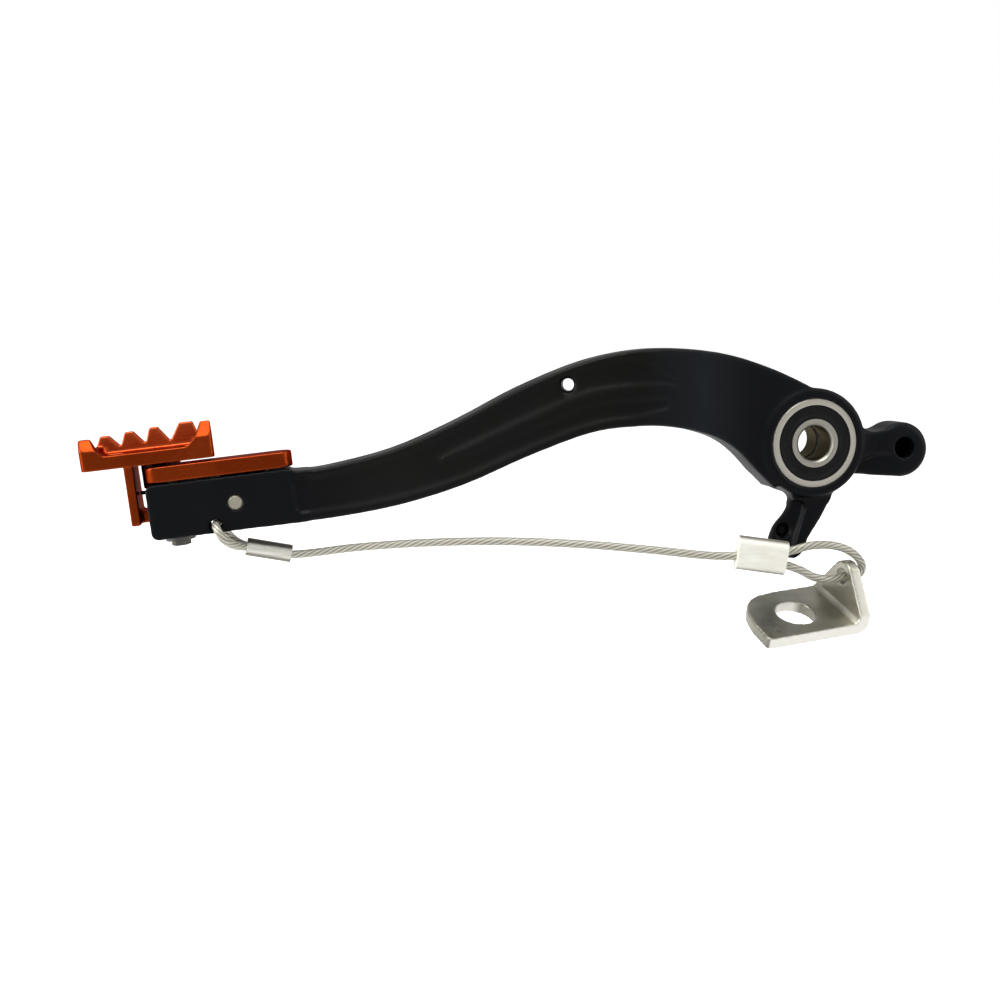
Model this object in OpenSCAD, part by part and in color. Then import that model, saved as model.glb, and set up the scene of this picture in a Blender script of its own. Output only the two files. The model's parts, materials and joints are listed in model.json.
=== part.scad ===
// Rear brake pedal: a bent forged arm that swings on two sealed bearings,
// a folding toothed tip at its front and a safety cable hanging from it.
// The origin is the middle of the pivot bore. +X points to the rear lobe,
// +Y runs along the pivot to the outboard side and +Z is up.

/* [Pivot hub] */
// Diameter of the pivot bore
bore_d = 10; // [9:0.5:11]
// Outer diameter of each bearing
bearing_d = 26; // [25:0.5:27]
// Width of each bearing
bearing_w = 8; // [7:0.5:9]
// Thickness of the ring between the bearings
spacer_w = 1; // [0.6:0.1:2]
// Wall of the hub around the bearings
hub_wall = 3; // [2.5:0.1:4]
// Depth of the bearings below each hub face
bearing_sink = 0.2; // [0:0.05:0.5]
// Number of balls in each bearing
ball_count = 7; // [6:1:8]
// Depth that the ball tracks are sunk into the rings
track_dip = 0.78; // [0.7:0.02:0.86]

/* [Arm] */
// Thickness of the arm
arm_t = 11; // [9:0.5:13]
// Depth of the arm face below the near hub face
arm_step = 1.2; // [0.6:0.1:2]
// How far the tip end is set outboard of the hub end
arm_offset = 28; // [24:1:32]
// Depth of the scoops in the near face
scoop_depth = 1.2; // [0.6:0.1:2]
// Height of the lip left under the scoops
lip_h = 2.8; // [2:0.2:4]
// Diameter of the cross hole high in the arm
arm_hole_d = 4; // [3:0.25:5]

/* [Front block] */
// Slope of the block and the tip, in degrees
tip_slope = 7.5; // [5:0.5:10]
// Length of the block
block_l = 42.5; // [39:0.5:46]
// Height of the block
block_h = 16.1; // [15:0.1:18]
// Diameter of the dowel pin
dowel_d = 4.5; // [4:0.25:5]
// Diameter of the cable hole
cable_hole_d = 3.4; // [3:0.1:3.8]
// Diameter of the mount screw
screw_d = 4; // [3:0.5:5]

/* [Rear lobe and lower lug] */
// Radius of the rear lobe
lobe_r = 8.2; // [7.6:0.1:8.6]
// Diameter of the rear lobe hole
lobe_hole_d = 6; // [5:0.25:7]
// Radius of the round end of the lower lug
lug_r = 5.4; // [5.2:0.1:6.2]
// Diameter of the blind hole in the lower lug
lug_hole_d = 4.2; // [3.2:0.1:4.4]
// Depth of the pocket in the near face of the lug
lug_pocket = 2.4; // [1.6:0.2:2.8]

/* [Folding tip] */
// Thickness of the mount plate
plate_t = 4.6; // [4:0.1:5]
// Length of the mount plate
plate_l = 42; // [40:0.5:44]
// Drop of the knuckle below the mount plate
knuckle_drop = 2.8; // [2:0.2:4]
// Radius of the hinge knuckle
knuckle_r = 5.8; // [5.5:0.1:6.5]
// Diameter of the hinge pin
hinge_pin_d = 5; // [4:0.25:5.5]
// Running gap around the hinge pin
hinge_fit = 0.05; // [0.02:0.01:0.1]
// Gap between the tread and the mount plate
tread_gap = 0.9; // [0.4:0.1:1.2]
// Gap between the foot and the arm, which it meets as a stop
stop_gap = 0.5; // [0.3:0.05:0.8]
// Length of the toothed tread
tread_l = 37.3; // [34:0.5:40]
// Depth of the toothed tread
tread_d = 32; // [28:0.5:36]
// Height of the tread rim
rim_h = 3.9; // [3:0.1:5]
// Thickness of the near and far rims
rim_t = 3; // [2.5:0.1:4]
// Height of the first tooth
tooth_h = 3.9; // [3:0.1:5]
// Rise of the tooth tips towards the rear
tooth_rise = 1.5; // [0:0.1:2.5]
// Thickness of the tread floor
floor_t = 2.5; // [2:0.1:3]
// Thickness of the foot under the hinge
foot_t = 3.3; // [3:0.1:5]
// Thickness of the web between tread and foot
web_t = 2.7; // [1.8:0.1:3]
// Wire diameter of the torsion spring
spring_wire = 1.2; // [1:0.05:1.3]

/* [Safety cable] */
// Diameter of the coated cable
cable_d = 2.4; // [2:0.1:2.6]
// Diameter of the round front ferrule
front_ferrule_d = 5.3; // [5.1:0.1:6]
// Length of the front ferrule
front_ferrule_l = 13.4; // [11:0.2:14]
// Height of the oval rear ferrule
rear_ferrule_h = 9.9; // [9:0.1:11]
// Thickness of the rear ferrule
rear_ferrule_t = 5.4; // [5.1:0.1:6]
// Length of the rear ferrule
rear_ferrule_l = 14.4; // [13:0.2:16]

/* [Cable tab] */
// Thickness of the tab
tab_t = 3.5; // [2.5:0.1:4]
// Diameter of the bolt hole in the tab
tab_hole_d = 11.6; // [10:0.2:12.5]
// Diameter of the cable hole in the tab
tab_eye_d = 4.4; // [3.6:0.1:5]
// Distance from the bolt hole to the upright of the tab
tab_reach = 15; // [14:0.5:18]

/* [Hidden] */
$fn = 48;
slack = 0.01;
through = 1;
reach = 60;

// Hub and bearings
stack_w = 2 * bearing_w + spacer_w;
hub_w = stack_w + 2 * bearing_sink;
hub_r = bearing_d / 2 + hub_wall;
hub_edge = 0.8;
seat_fit = 0.01;
bearing_y = (bearing_w + spacer_w) / 2;
pitch_r = (bore_d + bearing_d) / 4;
bearing_wall = (bearing_d - bore_d) / 2;
ring_share = 0.3;
ball_d = bearing_wall - 2 * (ring_share * bearing_wall - track_dip);
ball_fit = 0.03;
inner_land_share = 0.256;
inner_land_r = bore_d / 2 + inner_land_share * bearing_wall;
outer_land_share = 0.262;
outer_land_r = bearing_d / 2 - outer_land_share * bearing_wall;
seal_seat_share = 0.237;
seal_seat_r = bearing_d / 2 - seal_seat_share * bearing_wall;
seal_sink = 0.3;
seal_gap = 0.12;
beside_balls = bearing_w / 2 - seal_sink - ball_d / 2;
seal_t = 0.62 * beside_balls;
cage_half = ball_d / 2 + 0.28 * beside_balls;
cage_t = 0.38 * ball_d;
pocket_fit = 0.06;
ring_edge = 0.3;
bore_edge = 0.7;

// Side outline of the arm, seen along the pivot
arm_top = [
    [-156, -12.2], [-147, -11.6], [-138, -10.3], [-120, -4.8], [-102, 4.3], [-85, 14.4],
    [-67, 22.6], [-49, 26.2], [-30, 25.5], [-15, 21.8], [-3, 17], [6, 12]
];
arm_bottom = [
    [-160, -28.5], [-155, -28.1], [-136, -25.4], [-118, -21], [-100, -14.2], [-83, -5.4],
    [-66, 2], [-52, 4.1], [-42, 3.9], [-33, 2.2], [-27, 0], [-22, -3.4], [-17, -8.2], [-11, -13.5]
];
rib_top = [
    [-108, -7.6], [-97, -1.2], [-86, 4.8], [-70, 12.8],
    [-64, 14.6], [-56, 15.8], [-47, 16.2], [-40, 15.8]
];
rib_bottom = [
    [-108, -7.6], [-95, -3.4], [-81, 3.2], [-70, 8.7], [-64, 10.5], [-56, 11.6], [-44, 12.4]
];
outline_steps = 4;
scoop_start = -149;
scoop_lean = 1.4;
scoop_end = -44;
scoop_out = 5;
top_lip = 2;

// Plan of the arm, seen from above
near_y = -hub_w / 2 + arm_step;
bend_start = -50;
bend_end = -150;
bend_blend = 25;
bend_rate = arm_offset / (bend_start - bend_end - bend_blend);
arm_inset = 0.1;
arm_inset_from = -146;
arm_hole_at = [-73.4, 15.4];
arm_hole_turn = 18;

// Front block, in the sloping frame of the tip
block_left = -191;
block_bottom = -7.5;
block_top = block_bottom + block_h;
block_near = near_y + arm_offset;
block_far = block_near + arm_t;
block_mid = (block_near + block_far) / 2;
block_corner = 2;
dowel_at = [-166.4, 0.7];
cable_hole_at = [-172.7, -5.2];
hole_edge = 0.5;
tongue_l = 13;
tongue_t = 5;
tongue_fit = 0.2;
tongue_depth = 12;
tongue_mid = dowel_at[0] + 3;
screw_at = -183.3;
washer_d = 8.5;
washer_t = 1;
head_af = 4.8;
head_h = 1.6;

// Rear lobe and lower lug
lobe_at = [29.6, -1.9];
lobe_hole_at = [30, -1.2];
lobe_t = 12;
lobe_near = -6;
lobe_round = 2;
neck_set_in = 0.4;
neck_top = [
    [8, 9], [13, 7.4], [16.8, 4.6], [18.5, 3.75], [20.2, 3.4],
    [22, 3.55], [24, 4.1], [26, 4.95], [28, 5.75]
];
neck_bottom = [[28, -9.9], [22, -9.8], [16, -9.5], [8, -9]];
recess_top = [
    [14, -8.2], [15.5, -6.2], [17, -4.8], [19, -3.9], [21.4, -3.2],
    [23.9, -2.8], [26.4, -3.3], [28.2, -5], [29.4, -8]
];
recess_depth = 4;
lug_at = [-4.8, -29.5];
lug_hole_at = [-6.1, -26.3];
lug_hole_depth = 3;
lug_near = -6;
lug_thin = 5.6;
lug_t = 8;
lug_set_in = 1.5;

// Tip mount and hinge
plate_bottom = block_top + 0.4;
plate_top = plate_bottom + plate_t;
plate_left = block_left + 0.4;
plate_near = block_near + 0.2;
plate_far = block_far - 1.4;
plate_corner = 3.9;
hinge_u = -187;
hinge_y = block_far + knuckle_r + 0.7;
knuckle_bottom = plate_bottom - knuckle_drop;
tread_bottom = plate_top + tread_gap;
rim_top = tread_bottom + rim_h;
floor_top = tread_bottom + floor_t;
tread_left = -207.6;
tread_right = tread_left + tread_l;
tread_taper = 3.2;
tread_near = block_near + 1;
tread_far = tread_near + tread_d;
tread_corner = 1.6;
far_corner = 5;
horn_w = [3.4, 3];
horn_h = [5.1, 6.6];
horn_face = [1.7, 2.2];
horn_foot = [2.2, 3.4];
tooth_pitch = 7.4;
tooth_count = 4;
tooth_start = tread_left + 0.9;
foot_top = 0;
foot_bottom = foot_top - foot_t;
web_right = plate_left - 3.3;
web_left = web_right - web_t;
web_near = block_near + 6;
web_far = hinge_y + 4;
pin_head_d = 8;
pin_head_h = 1.2;
pin_head_sink = 0.2;
pin_r = hinge_pin_d / 2;
pin_edge = 0.4;
pin_end = foot_bottom - 1.8;
groove_d = hinge_pin_d - 1.2;
clip_t = 0.7;
clip_d = 8.6;
clip_drop = 0.35;
clip_play = 0.1;
groove_top = foot_bottom - clip_drop + clip_play;
groove_low = groove_top - clip_t - 2 * clip_play;
spring_r = hinge_pin_d / 2 + 1.2 + spring_wire / 2;
spring_gap = 0.3;
spring_top = knuckle_bottom - spring_gap - spring_wire / 2;
spring_low = foot_top + spring_gap + spring_wire / 2;
spring_from = 250;
spring_turns = 3;
spring_steps = 14;
spring_web_leg = 1.9;
spring_block_leg = [3.2, 11];

// Safety cable, by points along its middle
cable_sides = 8;
cable_steps = 2;
cable_fit = 0.02;
front_strand = 1.25;
rear_strand = 2.05;
front_from = [-162, 26, -34.7];
front_axis = [front_from, front_from + front_ferrule_l * unit([13.2, 0, -2.3])];
rear_from = [-23.5, -10.6, -31.3];
rear_axis = [rear_from, rear_from + rear_ferrule_l * unit([14.3, -2.8, -1.6])];
rear_run = [[-23.4, -10.62, -32.51], [-16.0, -12.07, -31.66], [-9.1, -13.42, -30.87]];
rear_end = [[-9.1, -13.42, -34.95], [-12.4, -12.77, -34.58], [-15.6, -12.15, -34.21]];
cable_route = concat([
    [-153.8, 27.25, -36.13], [-157.9, 27.25, -35.41], [-162, 27.25, -34.7],
    [-165.2, 30.9, -33.7], [-167.7, 34.1, -31.8], [-169, 35, -30.1],
    [-170.1, 34.1, -28.4], [-170.5, 31.8, -27.7], [-170.5, 26, -27.7],
    [-170.5, 20.2, -27.7], [-170.1, 17.9, -28.4], [-169, 17, -30.1],
    [-167.7, 17.9, -31.8], [-165.2, 21.1, -33.7], [-162, 24.75, -34.7],
    [-157.6, 24.75, -35.47], [-153.2, 24.75, -36.24], [-148.8, 24.75, -37],
    [-142, 24, -36.4], [-130, 21.2, -34.5], [-112, 15, -32.3],
    [-90, 7.4, -30.7], [-67.9, 0.2, -30.5], [-47.6, -5.0, -31.5], [-32.3, -8.6, -32.6]
], rear_run, [
    [-2.0, -14.0, -29.1], [5.2, -13.3, -29.3], [11.6, -11.8, -31.5], [15.8, -10.4, -35.2],
    [15.2, -10.5, -38.2], [10.8, -11, -38.7], [5.7, -11.9, -39.5], [0.2, -12.6, -38.7],
    [-4.8, -13.2, -36.4]
], rear_end);

// Cable tab
tab_at = [-4.9, -12, -49.2];
tab_turn = [20, -5, 10];
tab_near = -10.4;
tab_far = 12;
eye_at = [1.5, 9.2];
eye_r = 4.6;
bend_r = 3.2;

// Curve through points, a few steps to each stretch
function between(a, b, c, d, t) =
    0.5 * (2 * b + (c - a) * t + (2 * a - 5 * b + 4 * c - d) * t * t
        + (3 * b - a - 3 * c + d) * t * t * t);
function curve(p, steps) = [
    for (i = [0 : len(p) - 2], s = [0 : steps - 1])
        between(p[max(i - 1, 0)], p[i], p[i + 1], p[min(i + 2, len(p) - 1)], s / steps),
    p[len(p) - 1]
];
function reversed(p) = [for (i = [len(p) - 1 : -1 : 0]) p[i]];
function shifted(p, by) = [for (q = p) [q[0], q[1] + by]];
function span(p, low, high) = [for (q = p) if (q[0] > low && q[0] < high) q];
// Height of a curve at a place along it
function height_at(p, x) = lookup(x, p);
// Outboard shift of the arm at a place along X
function arm_shift(x) =
    let (s = bend_start - x, l = bend_start - bend_end)
    s <= 0 ? 0
    : s < bend_blend ? bend_rate * s * s / (2 * bend_blend)
    : s < l - bend_blend ? bend_rate * (s - bend_blend / 2)
    : s < l ? arm_offset - bend_rate * (l - s) * (l - s) / (2 * bend_blend)
    : arm_offset;

module along_pivot(y0, y1) translate([0, y1, 0]) rotate([90, 0, 0]) linear_extrude(y1 - y0) children();
module round_bar(at, d, y0, y1)
    translate([at[0], y1, at[1]]) rotate([90, 0, 0]) cylinder(d = d, h = y1 - y0);
module in_tip() rotate([0, -tip_slope, 0]) children();
module upright(u, y, d, w0, w1) translate([u, y, w0]) cylinder(d = d, h = w1 - w0);
module box(low, high) translate(low) cube(high - low);
module rounded_box(l, h, r) {
    translate([r, 0]) square([l - 2 * r, h]);
    translate([0, r]) square([l, h - 2 * r]);
    for (x = [r, l - r], y = [r, h - r]) translate([x, y]) circle(r, $fn = 32);
}
// Straight round rod between two points
module rod(a, b, d) {
    v = b - a;
    l = norm(v);
    translate(a) rotate([0, acos(v[2] / l), atan2(v[1], v[0])]) cylinder(d = d, h = l);
}
// Round hole along the pivot with a small bevel at both mouths
module edged_hole(at, d, y0, y1) {
    round_bar(at, d, y0 - through, y1 + through);
    translate([at[0], y0 - slack, at[1]]) rotate([-90, 0, 0])
        cylinder(d1 = d + 2 * hole_edge, d2 = d, h = hole_edge);
    translate([at[0], y1 + slack, at[1]]) rotate([90, 0, 0])
        cylinder(d1 = d + 2 * hole_edge, d2 = d, h = hole_edge);
}

module arm_outline() polygon(concat(
    curve(arm_top, outline_steps), reversed(curve(arm_bottom, outline_steps))
));
// The arm is a little thinner where it runs into the block, so that the block stands proud
plan_x = concat([20], [for (i = [0 : 26]) bend_start + 6 - i * 4.4], [-170]);
function inset_at(x) = x < arm_inset_from ? arm_inset : 0;
module arm_plan(near, far) polygon(concat(
    [for (x = plan_x) [x, near_y + near + arm_shift(x) + inset_at(x)]],
    [for (x = reversed(plan_x)) [x, near_y + far + arm_shift(x) - inset_at(x)]]
));
module beam() intersection() {
    along_pivot(-reach / 2, reach) arm_outline();
    translate([0, 0, -reach]) linear_extrude(2 * reach) arm_plan(0, arm_t);
}
// Shallow scoops in the near face, with a rib left between them
module scoops() {
    low = curve(shifted(arm_bottom, lip_h), outline_steps);
    high = curve(shifted(arm_top, -top_lip), outline_steps);
    rib_start = rib_top[0][0];
    intersection() {
        union() {
            along_pivot(-reach / 2, reach) polygon(concat(
                [[scoop_start, height_at(high, scoop_start)]],
                span(high, scoop_start, scoop_end - 6),
                [[scoop_end, 18.6]], reversed(curve(rib_top, outline_steps)),
                reversed(span(low, scoop_start + 2 * scoop_lean, rib_start)),
                [[scoop_start + scoop_lean + 1, height_at(low, scoop_start) + 0.4],
                    [scoop_start + scoop_lean, height_at(low, scoop_start) + 1.6]]
            ));
            along_pivot(-reach / 2, reach) polygon(concat(
                curve(rib_bottom, outline_steps), [[scoop_end, 9.4]],
                reversed(span(low, rib_start - 2, scoop_end - 8))
            ));
        }
        translate([0, 0, -reach]) linear_extrude(2 * reach) arm_plan(-scoop_out, scoop_depth);
    }
}
module block() in_tip() {
    translate([block_left, block_far, block_bottom]) rotate([90, 0, 0])
        linear_extrude(arm_t) rounded_box(block_l, block_h, block_corner);
}
module block_holes() in_tip() {
    round_bar(dowel_at, dowel_d + 2 * cable_fit, block_near - through, block_far + through);
    edged_hole(cable_hole_at, cable_hole_d, block_near, block_far);
    upright(screw_at, block_mid, screw_d + 0.3, block_bottom - through, block_top + through);
    slot_l = tongue_l / 2 + tongue_fit;
    slot_t = tongue_t / 2 + tongue_fit;
    box([tongue_mid - slot_l, block_mid - slot_t, plate_bottom - tongue_depth - tongue_fit],
        [tongue_mid + slot_l, block_mid + slot_t, block_top + through]);
}
module hub() rotate([90, 0, 0]) rotate_extrude() polygon([
    [0, -hub_w / 2], [hub_r - hub_edge, -hub_w / 2], [hub_r, -hub_w / 2 + hub_edge],
    [hub_r, hub_w / 2 - hub_edge], [hub_r - hub_edge, hub_w / 2], [0, hub_w / 2]
]);
// Rear lobe with rounded edges, on a curved neck with a recess low in its near face
module lobe() {
    lobe_far = lobe_near + lobe_t;
    recess_end = recess_top[len(recess_top) - 1][0];
    difference() {
        union() {
            translate([lobe_at[0], lobe_near, lobe_at[1]]) rotate([-90, 0, 0]) rotate_extrude() {
                translate([0, lobe_round]) square([lobe_r, lobe_t - 2 * lobe_round]);
                square([lobe_r - lobe_round, lobe_t]);
                for (y = [lobe_round, lobe_t - lobe_round])
                    translate([lobe_r - lobe_round, y]) circle(lobe_round);
            }
            along_pivot(lobe_near + neck_set_in, lobe_far - neck_set_in)
                polygon(concat(curve(neck_top, outline_steps), neck_bottom));
        }
        intersection() {
            along_pivot(lobe_near - through, lobe_far)
                polygon(concat(recess_top, [[recess_end, -12], [14, -12]]));
            translate([0, 0, -20]) linear_extrude(30) polygon([
                [12, lobe_near - through], [recess_end + 1, lobe_near - through],
                [recess_end, lobe_near], [12, lobe_near + recess_depth]
            ]);
        }
    }
}
// Lower lug, set in at the left of its outboard side
function lug_outline(in) = [
    [8.4, -13.8], [6.4, -18.7], [4.4, -22.8], lug_at + lug_r * [cos(5), sin(5)], lug_at,
    lug_at + lug_r * [cos(175), sin(175)] + [in, 0], [-8.9 + in, -25], [-6.4 + in, -22.2],
    [-4.6 + in, -19.3], [-4.4 + in, -16.5], [-8, -13], [0, -12]
];
module lug() {
    difference() {
        union() {
            round_bar(lug_at, 2 * lug_r, lug_near, lug_near + lug_thin);
            along_pivot(lug_near, lug_near + lug_thin) polygon(lug_outline(0));
            round_bar(lug_at + [lug_set_in / 2, 0], 2 * lug_r - lug_set_in, lug_near, lug_near + lug_t);
            along_pivot(lug_near, lug_near + lug_t) polygon(lug_outline(lug_set_in));
        }
        along_pivot(lug_near - through, lug_near + lug_pocket) polygon([
            [-12, -17.2], [-1.4, -17.4], [-0.4, -18.8], [-2.9, -28.5], [-4.6, -36], [-14, -36]
        ]);
        round_bar(lug_hole_at, lug_hole_d, lug_near, lug_near + lug_pocket + lug_hole_depth);
    }
}

module pedal_arm() color("#23252a") difference() {
    union() {
        difference() {
            union() {
                beam();
                block();
            }
            scoops();
        }
        hub();
        lobe();
        lug();
    }
    round_bar([0, 0], bearing_d + 2 * seat_fit, -hub_w, hub_w);
    block_holes();
    edged_hole(lobe_hole_at, lobe_hole_d, lobe_near, lobe_near + lobe_t);
    translate([arm_hole_at[0], near_y + arm_shift(arm_hole_at[0]), arm_hole_at[1]])
        rotate([90, 0, -arm_hole_turn]) cylinder(d = arm_hole_d, h = 4 * arm_t, center = true);
}

// One sealed ball bearing, piece by piece, about its own middle
module about_pivot(side) translate([0, side * bearing_y, 0]) rotate([90, 0, 0]) rotate_extrude() children();
module outer_ring(side) color("#b9b7ae") about_pivot(side) difference() {
    r = bearing_d / 2;
    h = bearing_w / 2;
    s = h - seal_sink - seal_t;
    polygon([
        [outer_land_r, -s], [seal_seat_r, -s], [seal_seat_r, -h], [r - ring_edge, -h], [r, -h + ring_edge],
        [r, h - ring_edge], [r - ring_edge, h], [seal_seat_r, h], [seal_seat_r, s], [outer_land_r, s]
    ]);
    translate([pitch_r, 0]) circle(d = ball_d + 2 * ball_fit);
}
module inner_ring(side) color("#c4c2b8") about_pivot(side) difference() {
    r = bore_d / 2;
    h = bearing_w / 2;
    polygon([
        [r, -h + bore_edge], [r + bore_edge, -h], [inner_land_r, -h],
        [inner_land_r, h], [r + bore_edge, h], [r, h - bore_edge]
    ]);
    translate([pitch_r, 0]) circle(d = ball_d + 2 * ball_fit);
}
module balls(side) color("#d8d8d4") for (i = [0 : ball_count - 1])
    translate([0, side * bearing_y, 0]) rotate([0, i * 360 / ball_count, 0])
        translate([pitch_r, 0, 0]) sphere(d = ball_d);
module cage(side) color("#8d8a7c") difference() {
    about_pivot(side) translate([pitch_r - cage_t / 2, -cage_half]) square([cage_t, 2 * cage_half]);
    for (i = [0 : ball_count - 1])
        translate([0, side * bearing_y, 0]) rotate([0, 90 + i * 360 / ball_count, 0])
            translate([0, 0, pitch_r - cage_t]) cylinder(d = ball_d + 2 * pocket_fit, h = 2 * cage_t);
}
module seal(side, face) color("#1b1b1c") about_pivot(side) mirror([0, face > 0 ? 0 : 1])
    translate([inner_land_r + seal_gap, bearing_w / 2 - seal_sink - seal_t])
        square([seal_seat_r - inner_land_r - seal_gap - slack, seal_t]);
module bearing_spacer() color("#9a9a96") rotate([90, 0, 0]) rotate_extrude()
    translate([outer_land_r, -spacer_w / 2]) square([bearing_d / 2 - outer_land_r, spacer_w]);

// Plate on the block, with a tongue down into it and the hinge knuckle
module tip_mount() color("#b5401a") in_tip() difference() {
    union() {
        translate([plate_left, plate_near, plate_bottom]) linear_extrude(plate_t)
            rounded_box(plate_l, plate_far - plate_near, plate_corner);
        box([plate_left, plate_far - 4, plate_bottom], [hinge_u + knuckle_r, hinge_y, plate_top]);
        upright(hinge_u, hinge_y, 2 * knuckle_r, knuckle_bottom, plate_top);
        box([tongue_mid - tongue_l / 2, block_mid - tongue_t / 2, plate_bottom - tongue_depth],
            [tongue_mid + tongue_l / 2, block_mid + tongue_t / 2, plate_bottom + slack]);
    }
    upright(hinge_u, hinge_y, hinge_pin_d + 2 * hinge_fit, knuckle_bottom - through, plate_top + through);
    round_bar(dowel_at, dowel_d + 2 * cable_fit, block_near, block_far);
    upright(screw_at, block_mid, screw_d, plate_bottom - through, plate_top - 1.2);
}

// Points round part of a circle
function arc(at, r, from, to, n) = [
    for (i = [0 : n]) let (a = from + (to - from) * i / n) at + r * [cos(a), sin(a)]
];
// Outline of the tread in plan, narrower outboard, with the far corners well rounded
module tread_plan(inset) {
    left = tread_left + inset;
    right = tread_right - inset;
    near = tread_near + inset;
    far = tread_far - inset;
    small = max(tread_corner - inset, 0.4);
    big = far_corner - inset;
    lean = atan(tread_taper / tread_d);
    polygon(concat(
        arc([left + small, near + small], small, 270, 180, 4),
        arc([left + big, far - big], big, 180, 90, 8),
        arc([right - tread_taper - big, far - big], big, 90, lean, 8),
        arc([right - small, near + small], small, lean, -90, 4)
    ));
}
function tooth_tip(i) = rim_top + tooth_h + tooth_rise * i / (tooth_count - 1);
module teeth() for (i = [0 : tooth_count - 1]) {
    u = tooth_start + i * tooth_pitch;
    last = i == tooth_count - 1 ? 1.6 : 0;
    along_pivot(tread_far - rim_t, tread_far) polygon([
        [u, rim_top - 1], [u, rim_top], [u + 1.7 + last, tooth_tip(i)], [u + 4.2 + 2 * last, tooth_tip(i)],
        [u + tooth_pitch + last, rim_top + 0.4], [u + tooth_pitch + last, rim_top - 1]
    ]);
}
// Horn at an end of the near rim, with its near face sloped back
module horn(i) {
    u = i == 0 ? tread_left : tread_right;
    s = i == 0 ? 1 : -1;
    top = rim_top + horn_h[i];
    face = rim_top + horn_face[i];
    heel = u + s * (horn_w[i] + horn_foot[i] + 1);
    intersection() {
        along_pivot(tread_near, tread_near + 2 * rim_t) polygon([
            [u, rim_top - 1], [u, top], [u + s * horn_w[i], top],
            [u + s * (horn_w[i] + horn_foot[i] * 0.6), rim_top + horn_h[i] * 0.35],
            [heel, rim_top], [heel, rim_top - 1]
        ]);
        translate([tread_left - 1, 0, 0]) rotate([90, 0, 90]) linear_extrude(tread_l + 2) polygon([
            [tread_near, rim_top - 1], [tread_near, face], [tread_near + rim_t, top],
            [tread_near + rim_t + 1, top], [tread_near + 2 * rim_t, rim_top - 1]
        ]);
        translate([0, 0, rim_top - 2]) linear_extrude(20) tread_plan(0);
    }
}
module end_rim(i) {
    u = i == 0 ? tread_left : tread_right;
    s = i == 0 ? 1 : -1;
    intersection() {
        rotate([90, 0, 90]) translate([0, 0, min(u, u + s * rim_t)]) linear_extrude(rim_t) polygon([
            [tread_near + rim_t - 1, rim_top - 1], [tread_near + rim_t - 1, rim_top + 0.5],
            [tread_far - rim_t, rim_top + 0.8 + i], [tread_far, rim_top + 0.8 + i], [tread_far, rim_top - 1]
        ]);
        translate([0, 0, rim_top - 2]) linear_extrude(20) tread_plan(0);
    }
}
module tread() color("#c9491c") in_tip() difference() {
    union() {
        difference() {
            translate([0, 0, tread_bottom]) linear_extrude(rim_h) tread_plan(0);
            translate([0, 0, floor_top]) linear_extrude(rim_h) tread_plan(rim_t);
        }
        intersection() {
            teeth();
            translate([0, 0, rim_top - 2]) linear_extrude(20) tread_plan(0);
        }
        for (i = [0, 1]) {
            horn(i);
            end_rim(i);
        }
        box([web_left, web_near, foot_bottom], [web_right, web_far, tread_bottom + slack]);
        box([web_right - slack, block_far + stop_gap, foot_bottom], [hinge_u, hinge_y + 4, foot_top]);
        upright(hinge_u, hinge_y, 2 * knuckle_r, foot_bottom, foot_top);
    }
    upright(hinge_u, hinge_y, hinge_pin_d, foot_bottom - through, floor_top + through);
    upright(hinge_u, hinge_y, pin_head_d + 0.1, floor_top - pin_head_h, floor_top + through);
    for (side = [0, 1]) windows(side);
}
// Mud windows through the tread floor on both sides of the hinge
module windows(side) {
    low = side == 0 ? tread_left + rim_t + 1.2 : hinge_u + 6;
    high = side == 0 ? web_left - 1.2 : tread_right - rim_t - 1.2;
    translate([low, tread_near + rim_t + 1.6, tread_bottom - through])
        linear_extrude(rim_h) rounded_box(high - low, tread_d - 2 * rim_t - 4.4, 1.5);
}

module hinge_pin() color("#b8bbbd") in_tip() translate([hinge_u, hinge_y, 0]) rotate_extrude() polygon([
    [0, pin_end], [pin_r - pin_edge, pin_end], [pin_r, pin_end + pin_edge],
    [pin_r, groove_low], [groove_d / 2, groove_low], [groove_d / 2, groove_top], [pin_r, groove_top],
    [pin_r, floor_top - pin_head_h], [pin_head_d / 2, floor_top - pin_head_h],
    [pin_head_d / 2, floor_top - pin_head_sink], [0, floor_top - pin_head_sink]
]);
module pin_clip() color("#8f9294") in_tip() translate([hinge_u, hinge_y, foot_bottom - clip_drop - clip_t])
    difference() {
        cylinder(d = clip_d, h = clip_t);
        translate([0, 0, -through]) cylinder(d = groove_d, h = clip_t + 2 * through);
        rotate([0, 0, 45]) box([0, 0, -through], [clip_d, clip_d, clip_t + through]);
    }

// Torsion spring round the hinge pin: a leg by the web, the coils and a leg along the block
function spring_turn(i) =
    let (a = spring_from + 360 * i / spring_steps, rise = spring_top - spring_low)
    [spring_r * cos(a), spring_r * sin(a), spring_top - rise * i / (spring_turns * spring_steps)];
function spring_path() = concat(
    [[web_right - hinge_u + spring_gap, spring_r * sin(spring_from) + spring_web_leg, spring_top]],
    [for (i = [0 : spring_turns * spring_steps]) spring_turn(i)],
    [for (u = spring_block_leg) [u, block_far - hinge_y + spring_wire / 2 + spring_gap, spring_low]]
);
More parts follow.
